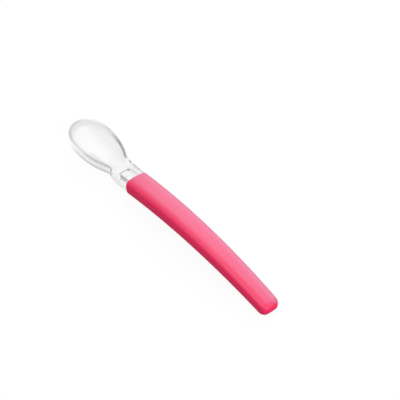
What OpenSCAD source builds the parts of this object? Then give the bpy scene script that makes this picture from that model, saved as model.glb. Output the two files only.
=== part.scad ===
// Baby feeding spoon: one clear moulding with a soft grip moulded round its slotted tang.
// Millimetres. +X runs from the bowl to the tail, +Z is up, and the spoon lies on z = 0.

/* [Bowl] */
// Length from the tip of the bowl to the waist
bowl_length = 36.1; // [32:0.1:43]
// Width of the bowl at its widest
bowl_width = 20.6; // [18:0.1:24.5]
// Distance from the tip to the widest place
bowl_widest_at = 13.1; // [11:0.1:15.5]
// Width of the bowl where it meets the neck
waist_width = 10.4; // [9:0.1:11.2]
// Height of the rim at the tip
rim_tip_height = 10.4; // [9:0.1:12]
// Height of the rim half way along the bowl
rim_middle_height = 9.4; // [8.8:0.1:11]
// Height of the rim at the waist
rim_waist_height = 8.3; // [7.8:0.1:8.8]
// Wall thickness along the rim
lip_thickness = 1.5; // [1.3:0.1:2.4]
// Wall thickness along the rim at the waist and beside the saddle
rail_thickness = 1.3; // [1.3:0.1:1.8]
// Thickness under the middle of the bowl
floor_thickness = 1.6; // [1.2:0.1:2.4]
// Radius of the rounded edges of the rim
rim_round = 0.6; // [0.3:0.05:0.6]
// Radius of the belly along the spoon
belly_radius = 145; // [110:5:220]
// Distance from the tip to the lowest place of the belly
belly_at = 16.6; // [14:0.1:20]
// How much the belly is flattened where it rests
rest_flat = 0.08; // [0.04:0.01:0.15]

/* [Neck] */
// Length of the neck from the waist to the grip
neck_length = 13; // [11:0.5:20]
// Width of the neck where it leaves the waist
neck_waist_width = 11; // [10.4:0.1:12]
// Height of the top of the neck where it leaves the waist
neck_waist_height = 7.4; // [7:0.1:8.2]
// Height of the underside of the neck where it leaves the waist
neck_waist_underside = 0.5; // [0.3:0.1:1]
// How much the grip stands proud of the neck all round
grip_reveal = 0.3; // [0.2:0.05:0.6]
// Height of the floor of the saddle at the front of the window
saddle_front_height = 5.5; // [4.6:0.1:5.8]
// Step from the top of the tang up to the floor of the saddle, at the grip
saddle_step = 0.2; // [0.1:0.05:0.4]
// Width of the window through the neck
window_width = 5.4; // [4.4:0.1:6]
// Length of the window that shows in front of the grip
window_length = 9.8; // [7:0.1:10.2]
// Radius of the corners of the window
window_corner = 0.8; // [0.5:0.1:1.5]

/* [Grip] */
// Length of the grip
grip_length = 100; // [85:1:120]
// Width at the front end, next to the neck
grip_front_width = 12.8; // [12.6:0.1:14.5]
// Width half way along
grip_middle_width = 11.7; // [11:0.1:13.5]
// Width at the tail
grip_tail_width = 9.8; // [9.4:0.1:12]
// Thickness at the front end
grip_front_thickness = 8.7; // [8.3:0.1:9.4]
// Thickness half way along
grip_middle_thickness = 8.1; // [7.5:0.1:9]
// Thickness at the tail
grip_tail_thickness = 6.9; // [6.3:0.1:8]
// Length of the rounded tail end
tail_round = 3.6; // [3:0.1:6]
// Radius of the arch that the grip follows
arch_radius = 295; // [260:5:400]
// Distance from the front end of the grip to the top of the arch
arch_top_at = 43; // [38:1:48]

/* [Tang] */
// Length of the tang inside the grip
tang_length = 84; // [74:1:84]
// Width of the tang at the neck
tang_front_width = 9.2; // [8.8:0.1:9.6]
// Width of the tang at its tail end
tang_tail_width = 6.6; // [6:0.1:7]
// Thickness of the tang
tang_thickness = 3.6; // [2.8:0.1:4]
// Length of the neck window that the grip fills
window_buried = 4; // [3:0.5:6]
// Number of slots along the tang
slots = 4; // [2:1:4]
// Length of a slot
slot_length = 10; // [7:0.5:11]
// Width of a slot
slot_width = 3.4; // [2.6:0.1:3.6]
// Distance from one slot to the next
slot_pitch = 16; // [14:0.5:16]
// Distance from the neck to the first slot
first_slot_at = 10; // [8:0.5:11]
// Length of the undercut notches near the tail end of the tang
notch_length = 2.4; // [1.5:0.1:3]
// Depth of each undercut notch
notch_depth = 0.8; // [0.4:0.1:1]
// Distance from the tail end of the tang to the notches
notch_from_end = 3; // [2:0.5:3.5]
// Gap between the tang and the grip that is moulded round it
bond_gap = 0.05; // [0.03:0.01:0.1]

/* [Hidden] */
overrun = 1;
grip_at = bowl_length + neck_length;
total_length = grip_at + grip_length;
// How square each cross-section is: 2 is an ellipse, and more is squarer
bowl_side_squareness = 3.15;
bowl_tip_squareness = 1.9;
hollow_side_squareness = 2.5;
hollow_tip_squareness = 1.9;
waist_squareness = 3.6;
grip_squareness = 3.25;
// How full the plan of the bowl stays behind its widest place
taper_fullness = 2.9;
taper_ease = 1.46;
// Where the neck starts inside the bowl, and how soon it reaches its full width
neck_start_share = 0.93;
neck_flare_share = 0.37;
// Where along the bowl the floor starts to rise to the saddle
rise_from_share = 0.58;
// How fast the squareness of the sides passes to that of the tip
tip_blend_power = 1.5;
// How much of the window's length the tang reaches into the neck
tang_root_share = 0.25;
// How much the width and the thickness close in at the tail
tail_width_share = 0.85;
// Number of steps along and round each skin
front_steps = 10;
back_steps = 12;
level_steps = 8;
edge_steps = 3;
first_level_angle = 4;
neck_steps = 12;
ring_steps = 40;
grip_steps = 26;
tail_steps = 7;
last_tail_angle = 82;
arch_facets = 720;
edge_facets = 32;

// The grip's sizes at a distance from its front end, each through three named sizes
function through(u, a, b, c) = a * (1 - u) * (1 - 2 * u) + 4 * b * u * (1 - u) + c * u * (2 * u - 1);
function grip_width(d) = through(d / grip_length, grip_front_width, grip_middle_width, grip_tail_width);
function grip_thickness(d) =
    through(d / grip_length, grip_front_thickness, grip_middle_thickness, grip_tail_thickness);
function arch_tilt(d) = asin((arch_top_at - d) / arch_radius);
function arch_drop(d) = arch_radius * (1 - cos(arch_tilt(d)));
function tail_angle(i) = last_tail_angle * i / tail_steps;
function tail_in(d) = max(0, (d - grip_length + tail_round) / tail_round);
function tail_close(d) = sqrt(max(0, 1 - tail_in(d) * tail_in(d)));
grip_stations = concat(
    [for (i = [0:grip_steps]) (grip_length - tail_round) * i / grip_steps],
    [for (i = [1:tail_steps]) grip_length - tail_round * (1 - sin(tail_angle(i)))]
);
function half_thickness(d) = grip_thickness(d) / 2 * tail_close(d);
function half_width(d) = grip_width(d) / 2 - tail_round * tail_width_share * (1 - tail_close(d));
// The arch stands so high that the underside of the tail just touches z = 0
arch_top_height = max([for (d = grip_stations) arch_drop(d) + half_thickness(d) * cos(arch_tilt(d))]);
function arch_height(d) = arch_top_height - arch_drop(d);

// Rim line, belly line and neck lines along the spoon, by distance s from the tip
function rim_height(s) = through(s / bowl_length, rim_tip_height, rim_middle_height, rim_waist_height);
function belly_height(s) = (s - belly_at) * (s - belly_at) / 2 / belly_radius - rest_flat;
function smooth(u) = let (t = min(1, max(0, u))) t * t * (3 - 2 * t);
// A cubic from a to b whose slopes at its ends are fall and rise
function ramp(t, a, b, fall, rise) =
    (2 * t * t * t - 3 * t * t + 1) * a + (t * t * t - 2 * t * t + t) * fall
    + (3 * t * t - 2 * t * t * t) * b + (t * t * t - t * t) * rise;
neck_start = bowl_length * neck_start_share;
neck_run = grip_at - neck_start;
front_tilt = arch_tilt(0);
neck_end_width = grip_front_width - 2 * grip_reveal;
neck_end_thickness = grip_front_thickness - 2 * grip_reveal;
neck_end_top = arch_height(0) + neck_end_thickness / 2;
neck_end_underside = arch_height(0) - neck_end_thickness / 2;
neck_rise = neck_run * tan(front_tilt);
function neck_share(s) = min(1, max(0, (s - neck_start) / neck_run));
function neck_top(s) = ramp(neck_share(s), neck_waist_height, neck_end_top, neck_rise, neck_rise);
function neck_underside(s) = ramp(neck_share(s), neck_waist_underside, neck_end_underside, 0, neck_rise);
function neck_width(s) =
    neck_waist_width + (neck_end_width - neck_waist_width) * smooth(neck_share(s) / neck_flare_share);
function neck_squareness(s) =
    waist_squareness + (grip_squareness - waist_squareness) * smooth(neck_share(s));

// Floor of the hollow: it follows the belly, then climbs to the saddle at the front of the window
window_at = grip_at - window_length;
saddle_end_height = arch_height(0) + tang_thickness / 2 + saddle_step;
function saddle_height(s) =
    saddle_front_height + (saddle_end_height - saddle_front_height) * (s - window_at) / window_length;
rise_from = bowl_length * rise_from_share;
function floor_height(s) =
    let (k = smooth((s - rise_from) / (window_at - rise_from)))
    (1 - k) * (belly_height(s) + floor_thickness) + k * saddle_height(s);
function mouth_height(s) = s < bowl_length ? rim_height(s) : max(rim_waist_height, neck_top(s));

// Half width of the bowl's plan, drawn in by a wall
function plan_half(s, wide, narrow) =
    let (t = min(1, max(0, (s - bowl_widest_at) / (bowl_length - bowl_widest_at))))
    narrow + (wide - narrow) * pow(1 - pow(t, taper_fullness), taper_ease);
// Plan points from the tip to the back: distance, half width, keel distance, and 1 at the tip to 0 behind
function plan_front(wall) = [for (i = [0:front_steps])
    let (a = 90 * i / front_steps)
    [
        bowl_widest_at - (bowl_widest_at - wall) * cos(a),
        (bowl_width / 2 - wall) * sin(a),
        bowl_widest_at,
        1 - i / front_steps
    ]];
function plan_back(wall, rail, end) = [for (i = [1:back_steps])
    let (s = bowl_widest_at + (end - bowl_widest_at) * i / back_steps)
    [s, plan_half(s, bowl_width / 2 - wall, side_at(s) - rail), s, 0]];
function side_at(s) = s > bowl_length ? neck_width(s) / 2 : waist_width / 2;
function plan(wall, rail, end) = concat(plan_front(wall), plan_back(wall, rail, end));

function mirrored(p) = [p[0], -p[1], p[2]];
// A closed ring from the points of one side, tip first
function both_sides(side) = concat(
    [for (i = [len(side) - 1:-1:1]) side[i]],
    [for (p = side) mirrored(p)]
);
function placed(p) = [p[0] - total_length / 2, p[1], p[2]];

// Skin over rings with equal counts of points, closed at both ends by strips across
function skin_faces(rings, n) = concat(
    [for (k = [0:rings - 2], i = [0:n - 1])
        let (j = (i + 1) % n)
        each [[k * n + i, k * n + j, (k + 1) * n + j], [k * n + i, (k + 1) * n + j, (k + 1) * n + i]]],
    end_strip(0, n, false),
    end_strip((rings - 1) * n, n, true)
);
// Point i of a ring lies across from point n - 1 - i
function end_strip(first, n, up) = [for (i = [0:floor(n / 2) - 1])
    let (a = first + i, b = first + i + 1, c = first + n - 2 - i, d = first + n - 1 - i)
    each (b == c ? [up ? [a, b, d] : [b, a, d]] : b > c ? [] :
        up ? [[a, b, c], [a, c, d]] : [[b, a, c], [c, a, d]])];

module skin(rings) {
    n = len(rings[0]);
    polyhedron(
        points = [for (r = rings, p = r) placed(p)],
        faces = [for (f = skin_faces(len(rings), n)) [f[2], f[1], f[0]]],
        convexity = 6
    );
}

function squareness(front, side, tip) = side + (tip - side) * pow(front, tip_blend_power);
// One level of a cup, from the keel at angle 0 out to the rim at angle 90
function cup_level(side, a, q_side, q_tip, edge, top, low) = [for (p = side)
    let (q = 2 / squareness(p[3], q_side, q_tip))
    let (out = pow(sin(a), q), s = p[2] + out * (p[0] - p[2]))
    [s, out * p[1], rim_at(s, top) - edge - (rim_at(p[2], top) - edge - rim_at(p[2], low)) * pow(cos(a), q)]];
// The rounded edge above the levels, leaning in for a cup and out for a hollow
function edge_level(side, a, edge, lean, top) = [for (p = side)
    let (reach = norm([p[0] - p[2], p[1]]), out = 1 - lean * edge * (1 - cos(a)) / reach)
    let (s = p[2] + out * (p[0] - p[2]))
    [s, out * p[1], rim_at(s, top) - edge * (1 - sin(a))]];
function raised(side, lift) = [for (p = side) [p[0], p[1], p[2] + lift]];
function rim_at(s, line) =
    line == "rim" ? rim_height(s) : line == "mouth" ? mouth_height(s)
    : line == "belly" ? belly_height(s) : floor_height(s);
function level_angle(k) = first_level_angle + (90 - first_level_angle) * k / level_steps;

module bowl_cup() {
    side = plan(0, 0, bowl_length);
    skin(concat(
        [for (k = [0:level_steps]) both_sides(
            cup_level(side, level_angle(k), bowl_side_squareness, bowl_tip_squareness, rim_round, "rim", "belly"))],
        [for (k = [1:edge_steps]) both_sides(
            edge_level(side, 90 * k / edge_steps, rim_round, 1, "rim"))]
    ));
}

module bowl_hollow() {
    side = plan(lip_thickness, rail_thickness, grip_at + overrun);
    edges = [for (k = [1:edge_steps]) edge_level(side, 90 * k / edge_steps, rim_round, -1, "mouth")];
    skin(concat(
        [for (k = [0:level_steps]) both_sides(
            cup_level(side, level_angle(k), hollow_side_squareness, hollow_tip_squareness, rim_round,
                "mouth", "floor"))],
        [for (e = edges) both_sides(e)],
        [both_sides(raised(edges[edge_steps - 1], 2 * overrun))]
    ));
}

function signed_pow(v, e) = sign(v) * pow(abs(v), e);
// A ring across the spoon: half width w, half thickness h, tilted back by t about its centre
function cross_ring(s, z, w, h, q, t) = [for (i = [0:ring_steps - 1])
    let (a = 90 + 360 * (i + 0.5) / ring_steps)
    let (y = w * signed_pow(cos(a), 2 / q), up = h * signed_pow(sin(a), 2 / q))
    [s - up * sin(t), y, z + up * cos(t)]];

module neck_block() {
    skin([for (i = [0:neck_steps])
        let (s = neck_start + (neck_run - bond_gap) * i / neck_steps)
        let (top = neck_top(s), low = neck_underside(s))
        cross_ring(s, (top + low) / 2, neck_width(s) / 2, (top - low) / 2, neck_squareness(s),
            front_tilt * i / neck_steps)
    ]);
}

module grip_skin() {
    skin([for (d = grip_stations)
        cross_ring(grip_at + d, arch_height(d), half_width(d), half_thickness(d), grip_squareness, arch_tilt(d))
    ]);
}

// Rounded rectangle in plan, from x0 to x1
module rounded_slot(x0, x1, width, corner) {
    translate([x0 + corner, -width / 2])
        square([x1 - x0 - 2 * corner, width]);
    translate([x0, -width / 2 + corner])
        square([x1 - x0, width - 2 * corner]);
    for (x = [x0 + corner, x1 - corner], y = [-1, 1])
        translate([x, y * (width / 2 - corner)])
            circle(r = corner, $fn = edge_facets);
}

// Plan of the tang from the grip's front end, grown by a gap
function tang_half(d) = (tang_front_width + (tang_tail_width - tang_front_width) * d / tang_length) / 2;
tang_root = window_length * tang_root_share;
function tang_side(gap) =
    let (n1 = tang_length - notch_from_end, n0 = n1 - notch_length)
    [
        [-tang_root, tang_half(0) + gap],
        [0, tang_half(0) + gap],
        [n0 + gap, tang_half(n0) + gap],
        [n0 + gap, tang_half(n0) + gap - notch_depth],
        [n1 - gap, tang_half(n0) + gap - notch_depth],
        [n1 - gap, tang_half(n1) + gap],
        [tang_length - notch_depth, tang_half(tang_length) + gap],
        [tang_length + gap, tang_half(tang_length) - notch_depth]
    ];
module tang_plan(gap) {
    side = tang_side(gap);
    difference() {
        polygon(concat(side, [for (i = [len(side) - 1:-1:0]) [side[i][0], -side[i][1]]]));
        for (i = [0:slots - 1])
            rounded_slot(first_slot_at + i * slot_pitch + gap, first_slot_at + i * slot_pitch + slot_length - gap,
                slot_width - 2 * gap, window_corner - gap);
    }
}

module at_grip() {
    translate([grip_at - total_length / 2, 0, 0])
        children();
}

module window_plan(gap) {
    rounded_slot(-window_length, window_buried - gap, window_width - 2 * gap, window_corner - gap);
}

module tang(gap) {
    reach = grip_front_thickness + arch_top_height;
    intersection() {
        at_grip()
            linear_extrude(height = reach)
                difference() {
                    tang_plan(gap);
                    window_plan(gap);
                }
        at_grip()
            translate([arch_top_at, 0, arch_top_height - arch_radius])
                rotate([90, 0, 0])
                    difference() {
                        cylinder(r = arch_radius + tang_thickness / 2 + gap, h = grip_front_width,
                            center = true, $fn = arch_facets);
                        cylinder(r = arch_radius - tang_thickness / 2 - gap, h = grip_front_width + overrun,
                            center = true, $fn = arch_facets);
                    }
    }
}

module clear_body() {
    color([0.9, 0.92, 0.93, 0.5])
        difference() {
            union() {
                bowl_cup();
                neck_block();
                tang(0);
            }
            bowl_hollow();
            at_grip()
                translate([0, 0, -overrun])
                    linear_extrude(height = rim_tip_height + neck_end_top)
                        window_plan(0);
            translate([-total_length / 2 - overrun, -bowl_width, -bowl_width])
                cube([bowl_length, 2 * bowl_width, bowl_width]);
        }
}

module grip() {
    color([0.98, 0.31, 0.48])
        difference() {
            grip_skin();
            tang(bond_gap);
        }
}

clear_body();
grip();
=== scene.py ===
import math

import bmesh
import bpy
from mathutils import Matrix, Vector


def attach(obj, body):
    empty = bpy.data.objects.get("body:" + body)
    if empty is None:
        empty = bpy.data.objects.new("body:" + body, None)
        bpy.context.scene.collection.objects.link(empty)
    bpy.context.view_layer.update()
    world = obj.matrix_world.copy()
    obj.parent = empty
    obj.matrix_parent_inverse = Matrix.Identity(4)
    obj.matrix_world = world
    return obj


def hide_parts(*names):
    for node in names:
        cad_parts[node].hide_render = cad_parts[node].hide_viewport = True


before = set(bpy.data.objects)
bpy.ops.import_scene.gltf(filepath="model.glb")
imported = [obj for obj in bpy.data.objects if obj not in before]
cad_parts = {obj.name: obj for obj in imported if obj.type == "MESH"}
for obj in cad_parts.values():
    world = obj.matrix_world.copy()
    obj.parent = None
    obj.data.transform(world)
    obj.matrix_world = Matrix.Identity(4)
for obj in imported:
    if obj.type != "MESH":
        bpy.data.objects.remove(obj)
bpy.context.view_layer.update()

millimetre = 0.001
halfLength = 74.55
weldDistance = 2e-6
sliverLength = 1e-6


def through(u, a, b, c):
    # a at 0, b half way and c at 1, on one parabola
    return a * (1 - u) * (1 - 2 * u) + 4 * b * u * (1 - u) + c * u * (2 * u - 1)


def smooth(u):
    t = min(1, max(0, u))
    return t * t * (3 - 2 * t)


def blend(low, high, share):
    return low + (high - low) * share


def cubic(t, a, b, fall, rise):
    # from a to b with these slopes at its ends
    return ((2 * t**3 - 3 * t**2 + 1) * a + (t**3 - 2 * t**2 + t) * fall
            + (3 * t**2 - 2 * t**3) * b + (t**3 - t**2) * rise)


def softMax(a, b, width):
    return 0.5 * (a + b + math.sqrt((a - b) ** 2 + width ** 2))


def placed(s, y, z):
    # s is millimetres from the tip of the bowl
    return ((s - halfLength) * millimetre, y * millimetre, z * millimetre)


def meshObject(name, points, faces):
    mesh = bpy.data.meshes.new(name)
    mesh.from_pydata([placed(*p) for p in points], [], faces)
    piece = bpy.data.objects.new(name, mesh)
    bpy.context.scene.collection.objects.link(piece)
    tidyMesh(mesh)
    return piece


def tidyMesh(mesh):
    work = bmesh.new()
    work.from_mesh(mesh)
    bmesh.ops.remove_doubles(work, verts=work.verts, dist=weldDistance)
    bmesh.ops.dissolve_degenerate(work, edges=work.edges, dist=sliverLength)
    bmesh.ops.recalc_face_normals(work, faces=work.faces)
    loose = [e for e in work.edges if not e.is_manifold]
    print(mesh.name, "faces", len(work.faces), "open edges", len(loose))
    work.to_mesh(mesh)
    work.free()


def cutWith(piece, tool, how):
    # one exact boolean, kept as the piece's own mesh, and the tool goes
    step = piece.modifiers.new(how, "BOOLEAN")
    step.operation = how
    step.solver = "EXACT"
    step.object = tool
    seen = bpy.context.evaluated_depsgraph_get()
    made = bpy.data.meshes.new_from_object(piece.evaluated_get(seen))
    piece.modifiers.clear()
    piece.data = made
    bpy.data.objects.remove(tool)
    tidyMesh(made)


def shadeSmooth(piece, sharpAngle):
    mesh = piece.data
    work = bmesh.new()
    work.from_mesh(mesh)
    for face in work.faces:
        face.smooth = True
    for edge in work.edges:
        edge.smooth = not (edge.is_manifold and edge.calc_face_angle() > math.radians(sharpAngle))
    work.to_mesh(mesh)
    work.free()


# the grip: rings along an arch, rounded at the tail; lengths here and below are in millimetres

grip = {
    "start": 49.1,
    "length": 100,
    # at the front, the middle and the tail
    "widths": (12.8, 11.7, 9.8),
    "thicknesses": (8.7, 8.1, 6.9),
    "squareness": 3.25,
    "tailRound": 3.6,
    "tailWidthShare": 0.85,
    "lastTailAngle": 86,
    "archRadius": 295,
    "archTopAt": 43,
    "archTop": 8.334,
    "frontRound": 0.7,
    "rings": 96,
    "ringPoints": 112,
    "tailRings": 22,
    "frontRings": 6,
    "sharpAngle": 50,
}


def archTilt(d):
    # d is the distance from the front of the grip
    return math.asin((grip["archTopAt"] - d) / grip["archRadius"])


def archHeight(d):
    return grip["archTop"] - grip["archRadius"] * (1 - math.cos(archTilt(d)))


def tailClose(d):
    into = max(0, (d - grip["length"] + grip["tailRound"]) / grip["tailRound"])
    return math.sqrt(max(0, 1 - into * into))


def frontEase(d):
    r = grip["frontRound"]
    into = max(0, 1 - d / r)
    return r * (1 - math.sqrt(1 - into * into))


def gripHalfWidth(d):
    half = through(d / grip["length"], *grip["widths"]) / 2
    return half - grip["tailRound"] * grip["tailWidthShare"] * (1 - tailClose(d)) - frontEase(d)


def gripHalfThickness(d):
    half = through(d / grip["length"], *grip["thicknesses"]) / 2
    return half * tailClose(d) - frontEase(d)


def signedPower(value, power):
    return math.copysign(abs(value) ** power, value)


def crossRing(s, z, halfWide, halfHigh, squareness, tilt, count):
    ring = []
    for i in range(count):
        angle = 2 * math.pi * i / count
        y = halfWide * signedPower(math.cos(angle), 2 / squareness)
        up = halfHigh * signedPower(math.sin(angle), 2 / squareness)
        ring.append((s - up * math.sin(tilt), y, z + up * math.cos(tilt)))
    return ring


def ringedPiece(name, rings):
    count = len(rings[0])
    points = [p for ring in rings for p in ring]
    faces = []
    for r in range(len(rings) - 1):
        for i in range(count):
            j = (i + 1) % count
            faces.append((r * count + i, r * count + j, (r + 1) * count + j, (r + 1) * count + i))
    faces.append(tuple(range(count)))
    faces.append(tuple(range((len(rings) - 1) * count, len(rings) * count)))
    return meshObject(name, points, faces)


def buildGrip():
    front, straight = grip["frontRound"], grip["length"] - grip["tailRound"]
    frontTurn, tailTurn = math.pi / 2, math.radians(grip["lastTailAngle"])
    stations = [front * (1 - math.cos(frontTurn * i / grip["frontRings"])) for i in range(grip["frontRings"])]
    stations += [blend(front, straight, i / grip["rings"]) for i in range(grip["rings"] + 1)]
    stations += [straight + grip["tailRound"] * math.sin(tailTurn * i / grip["tailRings"])
                 for i in range(1, grip["tailRings"] + 1)]
    rings = [crossRing(grip["start"] + d, archHeight(d), gripHalfWidth(d), gripHalfThickness(d),
                       grip["squareness"], archTilt(d), grip["ringPoints"]) for d in stations]
    return ringedPiece("soft_grip", rings)


# the tang: a slotted strip along the same arch, inside the grip

tang = {
    "length": 84,
    "frontWidth": 9.2,
    "tailWidth": 6.6,
    "thickness": 3.6,
    "root": 2.4,
    "windowHalf": 2.7,
    "windowBuried": 4,
    # the line of the window goes no further out than this share of the way from slot to edge
    "windowShare": 0.6,
    # the columns of each half, from the middle out
    "columns": ("slot", "rim", "body", "edge"),
    "slots": 4,
    "slotAt": 10,
    "slotPitch": 16,
    "slotLength": 10,
    "slotHalf": 1.7,
    "notchFromEnd": 3,
    "notchLength": 2.4,
    "notchDepth": 0.8,
    "gap": 0.05,
    "step": 2,
}


def tangStations(gap):
    notchEnd = tang["length"] - tang["notchFromEnd"]
    marks = [-tang["root"], tang["windowBuried"] - gap, notchEnd - tang["notchLength"] + gap,
             notchEnd - gap, tang["length"] + gap]
    for i in range(tang["slots"]):
        at = tang["slotAt"] + i * tang["slotPitch"]
        marks += [at + gap, at + tang["slotLength"] - gap]
    marks.sort()
    stations = []
    for a, b in zip(marks, marks[1:]):
        parts = max(1, round((b - a) / tang["step"]))
        stations += [blend(a, b, i / parts) for i in range(parts)]
    return stations + [marks[-1]]


def tangCell(d, column, gap):
    # whether the tang is solid there
    notchEnd = tang["length"] - tang["notchFromEnd"]
    if column == "edge":
        return not notchEnd - tang["notchLength"] < d < notchEnd
    if d < tang["windowBuried"] - gap:
        return column == "body"
    if column == "slot":
        return not any(0 < d - tang["slotAt"] - i * tang["slotPitch"] < tang["slotLength"]
                       for i in range(tang["slots"]))
    return True


def tangLines(d, gap):
    half = blend(tang["frontWidth"], tang["tailWidth"], max(0, d) / tang["length"]) / 2 + gap
    edge = half - tang["notchDepth"]
    window = min(tang["windowHalf"] - gap, blend(tang["slotHalf"], edge, tang["windowShare"]))
    return [tang["slotHalf"] - gap, window, edge, half]


def buildTang(name, gap):
    stations = tangStations(gap)
    half = tang["thickness"] / 2 + gap
    points = []
    for d in stations:
        lines = tangLines(d, gap)
        s, z, tilt = grip["start"] + d, archHeight(d), archTilt(d)
        for y in [-v for v in reversed(lines)] + lines:
            for up in (-half, half):
                points.append((s - up * math.sin(tilt), y, z + up * math.cos(tilt)))
    columns = tang["columns"]
    wide = 2 * len(columns)
    cells = {}
    for r in range(len(stations) - 1):
        middle = (stations[r] + stations[r + 1]) / 2
        for c in range(wide - 1):
            cells[r, c] = tangCell(middle, columns[abs(c + 1 - len(columns))], gap)

    def corner(r, c, up):
        return (r * wide + c) * 2 + up

    around = ((0, 0), (1, 0), (1, 1), (0, 1))
    faces = []
    for (r, c), solid in cells.items():
        if not solid:
            continue
        for up in (0, 1):
            faces.append(tuple(corner(r + i, c + j, up) for i, j in around))
        sides = {(r - 1, c): ((r, c), (r, c + 1)), (r + 1, c): ((r + 1, c), (r + 1, c + 1)),
                 (r, c - 1): ((r, c), (r + 1, c)), (r, c + 1): ((r, c + 1), (r + 1, c + 1))}
        for beside, (a, b) in sides.items():
            if not cells.get(beside, False):
                faces.append((corner(*a, 0), corner(*b, 0), corner(*b, 1), corner(*a, 1)))
    return meshObject(name, points, faces)


# the clear moulding: bowl, waist and neck as one skin, outside and inside

bowl = {
    "length": 36.1,
    "halfWidth": 10.3,
    "widestAt": 13.1,
    "waistHalf": 5.2,
    # at the tip, half way and at the waist
    "rimHeights": (10.4, 9.4, 8.3),
    "lip": 1.5,
    "rail": 1.3,
    "floor": 1.6,
    "round": 0.6,
    "bellyRadius": 145,
    "bellyAt": 16.6,
    "restFlat": 0.08,
    "sideSquareness": 3.15,
    "tipSquareness": 1.9,
    "tipBlendPower": 1.5,
    "hollowSideSquareness": 2.5,
    "fullness": 2.9,
    "ease": 1.46,
    "riseFrom": 20.9,
    "frontSteps": 44,
    "backSteps": 110,
    "levels": 28,
    "roundSteps": 8,
    "sharpAngle": 40,
}

neck = {
    "start": 33.5,
    "startHalf": 5.5,
    "flareRun": 5.8,
    "reveal": 0.3,
    "startTop": 7.4,
    "startUnder": 0.5,
    "waistSquareness": 3.6,
    "railTopEnd": 8.4,
    # the rim drops to the rails over this run behind the waist
    "dropRun": 1.6,
    "shoulder": 1.0,
    "innerRound": 0.3,
    # how softly the bowl's side runs into the neck's, and where that starts and over what run it grows
    "waistBlend": 0.4,
    "sideBlend": (23.1, 6),
    # where the underside, the squareness and the round of the top pass from bowl to neck, and over what run
    "underBlend": (31.6, 4),
    "squareBlend": (32.1, 5),
    "topBlend": (34.1, 6),
    "saddleFront": 5.5,
    "saddleStep": 0.2,
    "windowAt": 39.3,
    "windowHalf": 2.7,
    "windowCorner": 0.8,
    "windowCornerSteps": 8,
    # the window is cut from under the spoon to over it
    "windowCut": (-2, 14),
}

neckEndHalf = grip["widths"][0] / 2 - neck["reveal"]
neckEndHigh = grip["thicknesses"][0] / 2 - neck["reveal"]
neckRun = grip["start"] - neck["start"]
neckRise = neckRun * math.tan(archTilt(0))


def passed(s, name):
    start, run = neck[name]
    return smooth((s - start) / run)


def neckShare(s):
    return min(1, max(0, (s - neck["start"]) / neckRun))


def neckUnder(s):
    return cubic(neckShare(s), neck["startUnder"], archHeight(0) - neckEndHigh, 0, neckRise)


def rimHeight(s):
    return through(s / bowl["length"], *bowl["rimHeights"])


def bellyHeight(s):
    return (s - bowl["bellyAt"]) ** 2 / 2 / bowl["bellyRadius"] - bowl["restFlat"]


def topHeight(s):
    # the rim, and behind the waist the rails beside the saddle
    if s <= bowl["length"]:
        return rimHeight(s)
    rail = cubic(neckShare(s), neck["startTop"], neck["railTopEnd"], neckRise / 2, neckRise)
    return blend(rimHeight(bowl["length"]), rail, smooth((s - bowl["length"]) / neck["dropRun"]))


def lowHeight(s):
    return blend(bellyHeight(s), neckUnder(s), passed(s, "underBlend"))


def sideHeight(s):
    middle = (topHeight(s) + lowHeight(s)) / 2
    return blend(topHeight(s) - bowl["round"], middle, passed(s, "topBlend"))


def neckHalf(s):
    return blend(neck["startHalf"], neckEndHalf, smooth((s - neck["start"]) / neck["flareRun"]))


def outerHalf(s):
    t = min(1, max(0, (s - bowl["widestAt"]) / (bowl["length"] - bowl["widestAt"])))
    bowlHalf = blend(bowl["waistHalf"], bowl["halfWidth"], (1 - t ** bowl["fullness"]) ** bowl["ease"])
    if s < neck["sideBlend"][0]:
        return bowlHalf
    return softMax(bowlHalf, neckHalf(s), neck["waistBlend"] * passed(s, "sideBlend"))


def saddleHeight(s):
    end = archHeight(0) + tang["thickness"] / 2 + neck["saddleStep"]
    return blend(neck["saddleFront"], end, (s - neck["windowAt"]) / (grip["start"] - neck["windowAt"]))


def floorHeight(s):
    rise = smooth((s - bowl["riseFrom"]) / (neck["windowAt"] - bowl["riseFrom"]))
    return blend(bellyHeight(s) + bowl["floor"], saddleHeight(s), rise)


def wallThickness(s):
    back = (s - bowl["widestAt"]) / (bowl["length"] - bowl["widestAt"])
    return blend(bowl["lip"], bowl["rail"], smooth(back))


def plan(inner):
    # one side from the tip back: distance, half width, keel distance, and 1 at the tip to 0 behind
    side = []
    wall = bowl["lip"] if inner else 0
    middle, steps = bowl["widestAt"], bowl["frontSteps"]
    for i in range(steps + 1):
        angle = math.pi / 2 * i / steps
        s = middle - (middle - wall) * math.cos(angle)
        side.append((s, (bowl["halfWidth"] - wall) * math.sin(angle), middle, 1 - i / steps))
    for i in range(1, bowl["backSteps"] + 1):
        s = blend(middle, grip["start"], i / bowl["backSteps"])
        side.append((s, outerHalf(s) - (wallThickness(s) if inner else 0), s, 0))
    return side


def squareness(s, front, inner):
    side = bowl["hollowSideSquareness"] if inner else bowl["sideSquareness"]
    if not inner:
        behind = blend(neck["waistSquareness"], grip["squareness"], neckShare(s))
        side = blend(side, behind, passed(s, "squareBlend"))
    return blend(side, bowl["tipSquareness"], front ** bowl["tipBlendPower"])


def levelRow(side, angle, inner):
    row = []
    for s, y, keel, front in side:
        power = 2 / squareness(s, front, inner)
        out = math.sin(angle) ** power
        at = keel + out * (s - keel)
        top, edge = (topHeight, innerRound(keel)) if inner else (sideHeight, 0)
        low = floorHeight(keel) if inner else lowHeight(keel)
        z = top(at) - edge - (top(keel) - edge - low) * math.cos(angle) ** power
        row.append((at, out * y, z if inner else max(0, z)))
    return row


def innerRound(s):
    return blend(bowl["round"], neck["innerRound"], passed(s, "topBlend"))


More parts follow.
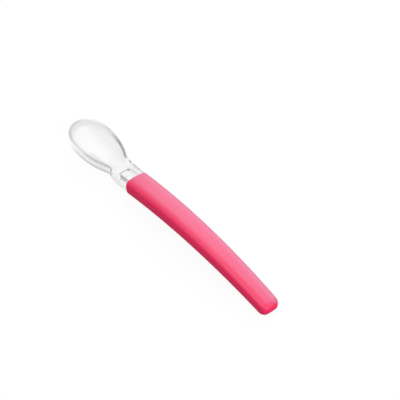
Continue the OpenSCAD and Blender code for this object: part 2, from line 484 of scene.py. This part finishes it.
def edgeRow(side, angle, inner):
    # the rounded lip: it leans in from the outer wall and out from the inner one
    row = []
    for s, y, keel, front in side:
        reach = math.hypot(s - keel, y)
        if inner:
            lean, rise, foot = -innerRound(keel), innerRound(keel), topHeight(s) - innerRound(keel)
        else:
            lean = blend(bowl["round"], neck["shoulder"], passed(keel, "topBlend"))
            foot = sideHeight(s)
            rise = topHeight(s) - foot
        out = 1 - lean * (1 - math.cos(angle)) / reach
        row.append((keel + out * (s - keel), out * y, foot + rise * math.sin(angle)))
    return row


def bothSides(row):
    return list(reversed(row)) + [(s, -y, z) for s, y, z in row[1:]]


def buildClear():
    outer, inner = plan(False), plan(True)
    quarter = math.pi / 2
    levels, rounds = bowl["levels"], bowl["roundSteps"]
    rows = [levelRow(outer, quarter * k / levels, False) for k in range(levels + 1)]
    rows += [edgeRow(outer, quarter * k / rounds, False) for k in range(1, rounds + 1)]
    rows += [edgeRow(inner, quarter * k / rounds, True) for k in range(rounds, 0, -1)]
    rows += [levelRow(inner, quarter * k / levels, True) for k in range(levels, -1, -1)]
    rows = [bothSides(row) for row in rows]
    wide = len(rows[0])
    points = [p for row in rows for p in row]
    faces = [(r * wide + c, r * wide + c + 1, (r + 1) * wide + c + 1, (r + 1) * wide + c)
             for r in range(len(rows) - 1) for c in range(wide - 1)]
    # the end under the grip is closed from the outer rows to the inner ones
    last = len(rows) - 1
    for r in range(len(rows) // 2 - 1):
        for c in (0, wide - 1):
            faces.append((r * wide + c, (r + 1) * wide + c, (last - r - 1) * wide + c, (last - r) * wide + c))
    return meshObject("clear_bowl", points, faces)


def windowCutter():
    corner, half, steps = neck["windowCorner"], neck["windowHalf"], neck["windowCornerSteps"]
    ends = (neck["windowAt"], grip["start"] + tang["windowBuried"])
    outline = []
    for x, y, first in ((1, 1, 0), (0, 1, 90), (0, 0, 180), (1, 0, 270)):
        centre = (ends[x] - corner * (2 * x - 1), (half - corner) * (2 * y - 1))
        for i in range(steps + 1):
            angle = math.radians(first + 90 * i / steps)
            outline.append((centre[0] + corner * math.cos(angle), centre[1] + corner * math.sin(angle)))
    count = len(outline)
    points = [(s, y, z) for z in neck["windowCut"] for s, y in outline]
    faces = [(i, (i + 1) % count, count + (i + 1) % count, count + i) for i in range(count)]
    faces += [tuple(range(count)), tuple(range(count, 2 * count))]
    return meshObject("window_cutter", points, faces)


gripPiece = buildGrip()
cutWith(gripPiece, buildTang("tang_space", tang["gap"]), "DIFFERENCE")
clearPiece = buildClear()
cutWith(clearPiece, buildTang("tang", 0), "UNION")
cutWith(clearPiece, windowCutter(), "DIFFERENCE")
shadeSmooth(gripPiece, grip["sharpAngle"])
shadeSmooth(clearPiece, bowl["sharpAngle"])
print("pieces built")


class Value:
    # one socket; arithmetic on it adds Math nodes
    def __init__(self, finish, socket):
        self.finish = finish
        self.socket = socket

    def maths(self, operation, *values):
        return self.finish.node("ShaderNodeMath", {"operation": operation}, dict(enumerate(values)))

    def __add__(self, other):
        return self.maths("ADD", self, other)

    def __radd__(self, other):
        return self.maths("ADD", other, self)

    def __sub__(self, other):
        return self.maths("SUBTRACT", self, other)

    def __rsub__(self, other):
        return self.maths("SUBTRACT", other, self)

    def __mul__(self, other):
        return self.maths("MULTIPLY", self, other)

    def __rmul__(self, other):
        return self.maths("MULTIPLY", other, self)

    def __truediv__(self, other):
        return self.maths("DIVIDE", self, other)

    def __rtruediv__(self, other):
        return self.maths("DIVIDE", other, self)

    def __neg__(self):
        return 0 - self

    def __abs__(self):
        return self.maths("ABSOLUTE", self)


class Finish:
    # a material, or a world, and its nodes
    def __init__(self, name, world=None):
        owner = world or bpy.data.materials.new(name)
        owner.use_nodes = True
        self.owner = owner
        self.tree = owner.node_tree
        self.tree.nodes.clear()

    def node(self, kind, settings=None, sockets=None, out=0):
        made = self.tree.nodes.new(kind)
        for key, value in (settings or {}).items():
            setattr(made, key, value)
        for key, value in (sockets or {}).items():
            if isinstance(value, Value):
                self.tree.links.new(value.socket, made.inputs[key])
            else:
                made.inputs[key].default_value = value
        return Value(self, made.outputs[out]) if made.outputs else None

    def axes(self, vector):
        return [self.node("ShaderNodeSeparateXYZ", None, {0: vector}, out=i) for i in range(3)]

    def step(self, value, limits):
        # 0 up to the first limit, 1 from the second one, eased between
        return self.node("ShaderNodeMapRange", {"interpolation_type": "SMOOTHSTEP"},
                         {0: value, 1: limits[0], 2: limits[1]})

    def least(self, a, b):
        return self.node("ShaderNodeMath", {"operation": "MINIMUM"}, {0: a, 1: b})

    def most(self, a, b):
        return self.node("ShaderNodeMath", {"operation": "MAXIMUM"}, {0: a, 1: b})

    def vectors(self, operation, *values, out="Vector"):
        return self.node("ShaderNodeVectorMath", {"operation": operation}, dict(enumerate(values)), out)

    def noise(self, place, scale, detail):
        return self.node("ShaderNodeTexNoise", None, {"Vector": place, "Scale": scale, "Detail": detail})

    def mixColour(self, share, low, high):
        # 6, 7 and 2 are the Mix node's colour sockets
        return self.node("ShaderNodeMix", {"data_type": "RGBA"}, {0: share, 6: low, 7: high}, out=2)

    def surface(self, shader):
        self.node("ShaderNodeOutputMaterial", None, {"Surface": shader})
        return self.owner


def grey(value):
    return (value, value, value, 1)


softGripLook = {
    "colour": (0.85, 0.028, 0.12, 1),
    # a paler, bluer pink that paints the sheen on the top and far side
    "paintedSheen": (0.68, 0.12, 0.255, 1),
    "roughness": 0.5,
    "roughnessSpread": 0.08,
    "ior": 1.45,
    "specular": 0.04,
    "sheen": 0.1,
    "sheenRoughness": 0.4,
    "coatRoughness": 0.42,
    "coatIor": 1.6,
    # the coat shows on faces that turn up this far
    "coatUpward": (0.3, 1),
    "cloudScale": 60,
    "cloudDetail": 3,
    "grainScale": 9000,
    "grainDetail": 2,
    "grainDepth": 0.00002,
    "grainStrength": 0.5,
    # painted sheen: how much of the paler, bluer colour a face gets, most on the top and far side, where
    # light from behind would give a sheen: its turns across, up and along, weighed and added up, and none
    # where it looks down
    "paintedSheenAcross": 0.9,
    "paintedSheenUp": 0.6,
    "paintedSheenAlong": -0.3,
    "paintedSheenFrom": (0.2, 1.0),
    "paintedSheenUpward": (-0.3, 0.5),
    "paintedSheenLeast": 0.8,
    "paintedSheenSpread": 0.4,
    # more painted sheen where the arch turns down towards the tail, and round the far corner of the end
    "tailFrom": (0.08, 0.19),
    "tailUntil": (0.25, 0.5),
    "tailAcross": 1.2,
    "tailLift": 0.08,
    "endFrom": (0.15, 0.4),
    "endUntil": (0.6, 0.9),
    "endAcross": (-0.1, 0.15),
    "endLift": 0.45,
}


def paintedSheenShare(f, cloud, along, across, upward):
    look = softGripLook
    nearTail = f.step(along, look["tailFrom"]) * (1 - f.step(along, look["tailUntil"]))
    nearEnd = f.step(along, look["endFrom"]) * (1 - f.step(along, look["endUntil"]))
    facing = across * (nearTail * look["tailAcross"] + look["paintedSheenAcross"]) + upward * look["paintedSheenUp"]
    facing = facing + along * look["paintedSheenAlong"] + nearTail * look["tailLift"]
    facing = facing + nearEnd * f.step(across, look["endAcross"]) * look["endLift"]
    paintedSheen = f.step(facing, look["paintedSheenFrom"]) * f.step(upward, look["paintedSheenUpward"])
    return paintedSheen * (look["paintedSheenLeast"] + cloud * look["paintedSheenSpread"])


def softGripFinish():
    look = softGripLook
    f = Finish("soft touch grip")
    place = f.node("ShaderNodeTexCoord", out="Object")
    cloud = f.noise(place, look["cloudScale"], look["cloudDetail"])
    grain = f.noise(place, look["grainScale"], look["grainDetail"])
    roughness = look["roughness"] + (cloud - 0.5) * look["roughnessSpread"]
    normal = f.node("ShaderNodeBump", None, {"Height": grain, "Distance": look["grainDepth"],
                                             "Strength": look["grainStrength"]})
    along, across, upward = f.axes(f.node("ShaderNodeNewGeometry", out="Normal"))
    # painted sheen, mixed into the base colour by which way each face turns
    paintedSheen = paintedSheenShare(f, cloud, along, across, upward)
    return f.surface(f.node("ShaderNodeBsdfPrincipled", None, {
        "Base Color": f.mixColour(paintedSheen, look["colour"], look["paintedSheen"]),
        "Roughness": roughness,
        "Normal": normal,
        "IOR": look["ior"],
        "Specular IOR Level": look["specular"],
        "Sheen Weight": look["sheen"],
        "Sheen Roughness": look["sheenRoughness"],
        "Coat Weight": f.step(upward, look["coatUpward"]),
        "Coat Roughness": look["coatRoughness"],
        "Coat IOR": look["coatIor"],
    }))


clearLook = {
    "colour": 0.965,
    # painted shade: the waist and neck are painted a little greyer
    "paintedNeckShade": 0.93,
    "neckFrom": (19, 27),
    "roughness": 0.04,
    "haze": 0.05,
    "hazeScale": 140,
    "hazeDetail": 3,
    "ior": 1.015,
    "transmission": 1,
    "coat": 0.2,
    "coatRoughness": 0.05,
    # painted shade: how light each part of the moulding is painted, as a share of the light through one face,
    # the top one last; these greys stand in for the dark lines and bands that bent light and shade give
    "paintedShades": {
        "wall": 0.8,
        "underRim": 0.64,
        "foot": 0.68,
        "nearWall": 0.73,
        "lowBand": 0.42,
        "ring": 0.43,
        "rimEdge": 0.3,
        "farLine": 0.15,
        "crease": 0.32,
        "beside": 0.8,
        "railEdge": 0.28,
        "waistCorner": 0.12,
        "refractionMottle": 0.82,
        "windowEdge": 0.66,
        "farEdge": 0.5,
        "nearCorner": 0.3,
        "farWall": 0.75,
        "window": 0.2,
        "windowCorner": 0.1,
    },
    # each pair from here to the window's is where something starts and is full, or where it fades and ends:
    # millimetres from the tip, across, up or down, or the slope of a face
    "outward": (0.25, 0.5),
    "inward": (0.2, 0.7),
    "bowlEnd": (30, 37),
    # the side wall counts the lean along the spoon only this much
    "tipShare": 0.4,
}


class ClearSpot:
    # where a point of the clear moulding lies, in millimetres, and which way its face leans and turns
    def __init__(self, f):
        self.place = f.node("ShaderNodeTexCoord", out="Object")
        x, y, z = f.axes(self.place)
        normal = f.node("ShaderNodeNewGeometry", out="Normal")
        self.s = x * (1 / millimetre) + halfLength
        self.across = y * (1 / millimetre)
        self.up = z * (1 / millimetre)
        self.turn = f.axes(normal)[2]
        self.behind = f.node("ShaderNodeNewGeometry", out="Backfacing")
        self.front = 1 - self.behind
        # spokes run out from the middle of the bowl's round front, and straight across behind it
        back = f.least(self.s - bowl["widestAt"], 0)
        spoke = f.node("ShaderNodeCombineXYZ", None, {0: back, 1: self.across, 2: 0})
        spoke = f.vectors("NORMALIZE", spoke)
        self.lean = f.vectors("DOT_PRODUCT", spoke, normal, out="Value")
        sideSpoke = f.vectors("MULTIPLY", spoke, (clearLook["tipShare"], 1, 1))
        self.sideLean = f.vectors("DOT_PRODUCT", sideSpoke, normal, out="Value")
        self.outward = f.step(self.lean, clearLook["outward"]) * self.front
        self.inward = f.step(-self.lean, clearLook["inward"]) * self.front
        self.inBowl = 1 - f.step(self.s, clearLook["bowlEnd"])
        self.below = rimHeight(self.s) - self.up


bowlShadeLimits = {
    "wallLean": (0.1, 0.75),
    "underRimDepth": (1.5, 4.5),
    "footLean": (0, 0.17),
    "footAcross": (0.5, 2),
    "footFrom": (12, 20),
    "nearWallDepth": (0.6, 1.2),
    "nearWallFrom": (8, 20),
    "lowBandTurn": (0.02, 0.2),
    # the painted dark band low on the outer wall is this strong at the tip and full further back
    "lowBandTip": 0.6,
    "lowBandFrom": (8, 20),
    "ringDepth": (0.12, 0.35),
    # the painted dark ring round the top of the rim fades on the far side of the tip, a little along the far
    # side and along the near side
    "tipAcross": (-1, 6),
    "tipUntil": (8, 15),
    "tipFade": 0.8,
    "farAcross": (1, 4),
    "farFrom": (12, 18),
    "farFade": 0.25,
    "nearAcross": (0, 4),
    "nearFrom": (7, 16),
    "nearFade": 0.8,
    "rimEdgeDepth": (0.3, 0.6),
    # how strong the painted dark line on the rim's outer edge is at the tip, how that changes on the way
    # back, and where it ends
    "rimEdgeTip": 0.85,
    "rimEdgeChanges": (((4, 9), -0.4), ((16, 24), 0.35), ((28, 33), 0.2)),
    "rimEdgeUntil": (36, 37.5),
    # the painted dark line under the far rim, which comes nearer to the rim towards the waist
    "farLineLean": (0, 0.4),
    "farLineAcross": (1, 3),
    "farLineTop": (-0.3, 0.15),
    "farLineFoot": (1.0, 1.6),
    "farLineRise": 0.6,
    "farLineRiseFrom": (22, 33),
    "farLineFrom": (15, 24),
    "farLineUntil": (34, 36),
    "creaseAt": 36.5,
    "creaseHalf": (0.4, 1),
}


# painted shade on the bowl: greys and dark lines laid on its walls, rim and lip
def bowlMasks(f, spot):
    shadeLimits = bowlShadeLimits
    s, across, below, front, outward = spot.s, spot.across, spot.below, spot.front, spot.outward

    wall = f.step(-spot.sideLean, shadeLimits["wallLean"]) * front * spot.inBowl
    underRim = spot.inward * (1 - f.step(below, shadeLimits["underRimDepth"])) * spot.inBowl
    foot = f.step(-spot.lean, shadeLimits["footLean"]) * f.step(-across, shadeLimits["footAcross"])
    foot = foot * f.step(s, shadeLimits["footFrom"]) * front * spot.inBowl
    nearWall = outward * f.step(below, shadeLimits["nearWallDepth"]) * f.step(s, shadeLimits["nearWallFrom"])
    backShare = f.step(s, shadeLimits["lowBandFrom"]) * (1 - shadeLimits["lowBandTip"])
    lowBand = outward * f.step(-spot.turn, shadeLimits["lowBandTurn"]) * (shadeLimits["lowBandTip"] + backShare)

    farTip = f.step(across, shadeLimits["tipAcross"]) * (1 - f.step(s, shadeLimits["tipUntil"])) * shadeLimits["tipFade"]
    farSide = f.step(across, shadeLimits["farAcross"]) * f.step(s, shadeLimits["farFrom"]) * shadeLimits["farFade"]
    nearSide = f.step(-across, shadeLimits["nearAcross"]) * f.step(s, shadeLimits["nearFrom"]) * shadeLimits["nearFade"]
    ring = front * (1 - f.step(below, shadeLimits["ringDepth"])) * spot.inBowl
    ring = ring * (1 - farTip - farSide) * (1 - nearSide)

    strength = shadeLimits["rimEdgeTip"]
    for limits, change in shadeLimits["rimEdgeChanges"]:
        strength = strength + f.step(s, limits) * change
    rimEdge = outward * (1 - f.step(below, shadeLimits["rimEdgeDepth"])) * strength
    rimEdge = rimEdge * (1 - f.step(s, shadeLimits["rimEdgeUntil"]))

    depth = below + f.step(s, shadeLimits["farLineRiseFrom"]) * shadeLimits["farLineRise"]
    farLine = (1 - f.step(spot.lean, shadeLimits["farLineLean"])) * f.step(across, shadeLimits["farLineAcross"]) * front
    farLine = farLine * f.step(depth, shadeLimits["farLineTop"]) * (1 - f.step(depth, shadeLimits["farLineFoot"]))
    farLine = farLine * f.step(s, shadeLimits["farLineFrom"]) * (1 - f.step(s, shadeLimits["farLineUntil"]))
    crease = outward * (1 - f.step(abs(s - shadeLimits["creaseAt"]), shadeLimits["creaseHalf"]))
    return {"wall": wall, "underRim": underRim, "foot": foot, "nearWall": nearWall, "lowBand": lowBand,
            "ring": ring, "rimEdge": rimEdge, "farLine": farLine, "crease": crease}


neckShadeLimits = {
    "besideAcross": (2.4, 3.4),
    "besideFrom": (37, 43),
    "besideTurn": (0.1, 0.3),
    "cornerAt": 37.4,
    "cornerHalf": (0.3, 0.8),
    "cornerAcross": (4.7, 5),
    "cornerUp": (6.2, 6.8),
    "railAcross": (4.3, 5),
    "railTurn": (0.1, 0.4),
    "railFrom": (36.8, 38),
    # a painted refraction mottle on the two rails
    "mottleScale": 900,
    "mottleDetail": 1,
    "mottleFrom": (37.5, 40),
    "mottleAcross": (3.2, 3.8),
    "mottleCloud": (0.5, 0.62),
}


# painted shade on the waist corner and rails, and a painted refraction mottle
def neckMasks(f, spot):
    shadeLimits = neckShadeLimits
    s, across, turn, front = spot.s, spot.across, spot.turn, spot.front
    beside = f.step(across, shadeLimits["besideAcross"]) * f.step(s, shadeLimits["besideFrom"])
    beside = beside * f.step(turn, shadeLimits["besideTurn"]) * front
    waistCorner = 1 - f.step(abs(s - shadeLimits["cornerAt"]), shadeLimits["cornerHalf"])
    waistCorner = waistCorner * f.step(across, shadeLimits["cornerAcross"]) * f.step(spot.up, shadeLimits["cornerUp"])
    railEdge = f.step(across, shadeLimits["railAcross"]) * f.step(turn, shadeLimits["railTurn"])
    railEdge = railEdge * f.step(s, shadeLimits["railFrom"]) * front
    speckle = f.noise(spot.place, shadeLimits["mottleScale"], shadeLimits["mottleDetail"])
    refractionMottle = f.step(speckle, shadeLimits["mottleCloud"]) * f.step(s, shadeLimits["mottleFrom"])
    refractionMottle = refractionMottle * f.step(abs(across), shadeLimits["mottleAcross"]) * front
    return {"beside": beside, "waistCorner": waistCorner, "railEdge": railEdge, "refractionMottle": refractionMottle}


windowShadeLimits = {
    "steepTurn": (0.2, 0.4),
    "flatTurn": (0.6, 0.8),
    # how far past the window's sides and before its front its walls still count
    "wallReach": 0.1,
    "farAcross": (1.6, 2.2),
    # the top of the walls rises by this slope, and the painted dark line under it lies this deep
    "topRise": 0.06,
    "lineDepth": (0.7, 0.35),
    # seen through the plastic, the near wall is painted dark down to here, and paler towards the grip
    "insideDepth": (3.6, 2.0),
    "insideFade": (42, 49),
    "insideFadeShare": 0.4,
    "farWallDepth": (1.2, 2.6),
    "edgeStart": (-0.1, 0.1),
    "edgeEnd": (0.3, 0.9),
    "edgeFrom": (38, 38.4),
    "edgeWidth": 0.6,
    "cornerUntil": (39.9, 40.6),
    "cornerDepth": (0.7, 1.2),
    "nearCornerAt": (40.2, -2.9),
    "nearCornerAlong": (0.4, 1.1),
    "nearCornerAcross": (0.2, 0.8),
    "farEdgeStart": (2.7, 2.9),
    "farEdgeEnd": (3.2, 3.8),
    "farEdgeFrom": (39.6, 40.6),
    "farEdgeFade": (43, 48),
    "farEdgeFadeShare": 0.6,
}


# painted shade in the window and round its mouth
def windowMasks(f, spot):
    shadeLimits = windowShadeLimits
    s, across, up, turn, front = spot.s, spot.across, spot.up, spot.turn, spot.front
    start, half, reach = neck["windowAt"], neck["windowHalf"], shadeLimits["wallReach"]
    steep = 1 - f.step(abs(turn), shadeLimits["steepTurn"])
    hole = steep * (1 - f.step(abs(across), (half, half + reach))) * f.step(s, (start - reach, start))
    far = f.step(across, shadeLimits["farAcross"])
    top = (s - start) * shadeLimits["topRise"] + neck["saddleFront"]
    line = f.step(up, [top - depth for depth in shadeLimits["lineDepth"]])
    inside = spot.behind * f.step(up, [top - depth for depth in shadeLimits["insideDepth"]])
    inside = inside * (1 - f.step(s, shadeLimits["insideFade"]) * shadeLimits["insideFadeShare"])
    window = hole * (1 - far) * f.most(inside, line)
    farWall = hole * far * front * (1 - f.step(top - up, shadeLimits["farWallDepth"]))
    windowCorner = hole * far * (1 - f.step(s, shadeLimits["cornerUntil"]))
    windowCorner = windowCorner * (1 - f.step(top - up, shadeLimits["cornerDepth"]))

    # painted shade on the faces round the window's mouth
    flat = f.step(turn, shadeLimits["flatTurn"])
    outside = f.most(start - s, across - half)
    windowEdge = flat * f.step(outside, shadeLimits["edgeStart"]) * (1 - f.step(outside, shadeLimits["edgeEnd"]))
    windowEdge = windowEdge * f.step(s, shadeLimits["edgeFrom"])
    windowEdge = windowEdge * (1 - f.step(abs(across), (half, half + shadeLimits["edgeWidth"])))
    cornerS, cornerY = shadeLimits["nearCornerAt"]
    nearCorner = flat * front * (1 - f.step(abs(s - cornerS), shadeLimits["nearCornerAlong"]))
    nearCorner = nearCorner * (1 - f.step(abs(across - cornerY), shadeLimits["nearCornerAcross"]))
    farEdge = flat * front * f.step(across, shadeLimits["farEdgeStart"]) * (1 - f.step(across, shadeLimits["farEdgeEnd"]))
    farEdge = farEdge * f.step(s, shadeLimits["farEdgeFrom"])
    farEdge = farEdge * (1 - f.step(s, shadeLimits["farEdgeFade"]) * shadeLimits["farEdgeFadeShare"])
    return {"window": window, "farWall": farWall, "windowCorner": windowCorner,
            "windowEdge": windowEdge, "nearCorner": nearCorner, "farEdge": farEdge}


def clearFinish():
    look = clearLook
    f = Finish("clear moulding")
    spot = ClearSpot(f)
    masks = {**bowlMasks(f, spot), **neckMasks(f, spot), **windowMasks(f, spot)}
    # the clear grey, painted greyer over the waist and neck, then each mask's painted shade laid on top
    colour = f.mixColour(f.step(spot.s, look["neckFrom"]), grey(look["colour"]), grey(look["paintedNeckShade"]))
    for name, paintedShade in look["paintedShades"].items():
        colour = f.mixColour(masks[name], colour, grey(paintedShade))
    cloud = f.noise(spot.place, look["hazeScale"], look["hazeDetail"])
    return f.surface(f.node("ShaderNodeBsdfPrincipled", None, {
        "Base Color": colour,
        "Roughness": look["roughness"] + cloud * look["haze"],
        "IOR": look["ior"],
        "Transmission Weight": look["transmission"],
        "Coat Weight": look["coat"],
        "Coat Roughness": look["coatRoughness"],
    }))


gripPiece.data.materials.clear()
gripPiece.data.materials.append(softGripFinish())
clearPiece.data.materials.clear()
clearPiece.data.materials.append(clearFinish())
for piece, node, slotName in ((gripPiece, "grip", "soft_grip"), (clearPiece, "clear_body", "clear_moulding")):
    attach(piece, "root")
    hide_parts(node)
print("finishes applied")


# the studio and the view are in metres and degrees

studio = {
    "floorSize": 6,
    "floorDrop": 0.00002,
    "floorColour": grey(0.4),
    # the floor as the camera sees it, and how white it is there and in gloss
    "seenColour": grey(0.92),
    "whiteShare": 0.93,
    "glossyShare": 0.3,
    "ambient": 0.45,
    # what the clear moulding bends towards: white, with darker studio walls low down
    "darkBand": (0.1, 0.35),
    "darkTone": 0.05,
    "skyTone": 1,
    # azimuth, elevation, distance, size and brightness
    "lamps": {
        "overhead": (-5, 62, 2, 1.6, 1.7),
        "back": (212, 40, 2.5, 2.6, 1.95),
        "end": (95, 20, 2, 1.2, 4.4),
    },
}


def buildFloor():
    half = studio["floorSize"] / 2
    mesh = bpy.data.meshes.new("floor")
    corners = [(x * half, y * half, -studio["floorDrop"]) for x, y in ((-1, -1), (1, -1), (1, 1), (-1, 1))]
    mesh.from_pydata(corners, [], [(0, 1, 2, 3)])
    floor = bpy.data.objects.new("floor", mesh)
    bpy.context.scene.collection.objects.link(floor)
    f = Finish("pale floor")
    camera = f.node("ShaderNodeLightPath", out="Is Camera Ray")
    clear = f.node("ShaderNodeLightPath", out="Is Transmission Ray")
    glossy = f.node("ShaderNodeLightPath", out="Is Glossy Ray")
    seen = camera + clear
    share = seen * studio["whiteShare"] + glossy * studio["glossyShare"]
    lit = f.node("ShaderNodeBsdfDiffuse", None,
                 {"Color": f.mixColour(seen, studio["floorColour"], studio["seenColour"])})
    white = f.node("ShaderNodeEmission", None, {"Color": grey(1), "Strength": 1})
    mesh.materials.append(f.surface(f.node("ShaderNodeMixShader", None, {0: share, 1: lit, 2: white})))


def direction(azimuth, elevation):
    a, e = math.radians(azimuth), math.radians(elevation)
    return Vector((math.sin(a) * math.cos(e), -math.cos(a) * math.cos(e), math.sin(e)))


def aimed(thing, back, target, distance):
    right = Vector((0, 0, 1)).cross(back).normalized()
    turn = Matrix((right, back.cross(right), back)).transposed().to_4x4()
    turn.translation = target + back * distance
    thing.matrix_world = turn


def addLamp(name, azimuth, elevation, distance, size, brightness):
    lamp = bpy.data.lights.new(name, "AREA")
    lamp.shape = "SQUARE"
    lamp.size = size
    lamp.energy = brightness * math.pi * size ** 2
    thing = bpy.data.objects.new(name, lamp)
    bpy.context.scene.collection.objects.link(thing)
    thing.visible_transmission = False
    aimed(thing, direction(azimuth, elevation), Vector((0, 0, 0)), distance)


def buildWorld():
    world = bpy.data.worlds.new("studio")
    bpy.context.scene.world = world
    w = Finish("studio", world)
    clear = w.node("ShaderNodeLightPath", out="Is Transmission Ray")
    upward = w.axes(w.node("ShaderNodeTexCoord", out="Generated"))[2]
    above = w.step(upward, studio["darkBand"])
    seen = studio["darkTone"] + above * (studio["skyTone"] - studio["darkTone"])
    strength = (1 - clear) * studio["ambient"] + clear * seen
    background = w.node("ShaderNodeBackground", None, {"Color": grey(1), "Strength": strength})
    w.node("ShaderNodeOutputWorld", None, {"Surface": background})


view = {
    "azimuth": 51.05,
    "elevation": 45.93,
    "distance": 0.7,
    "target": (-0.00112, 0.0197, 0),
    "lens": 131.2,
    "sensor": 36,
    "clipStart": 0.01,
}


def buildCamera():
    camera = bpy.data.objects.new("camera", bpy.data.cameras.new("camera"))
    bpy.context.scene.collection.objects.link(camera)
    camera.data.lens = view["lens"]
    camera.data.sensor_width = view["sensor"]
    camera.data.clip_start = view["clipStart"]
    aimed(camera, direction(view["azimuth"], view["elevation"]), Vector(view["target"]), view["distance"])
    bpy.context.scene.camera = camera


buildFloor()
for name, lamp in studio["lamps"].items():
    addLamp(name, *lamp)
buildWorld()
buildCamera()
bpy.context.scene.view_settings.view_transform = "Standard"
print("studio set")
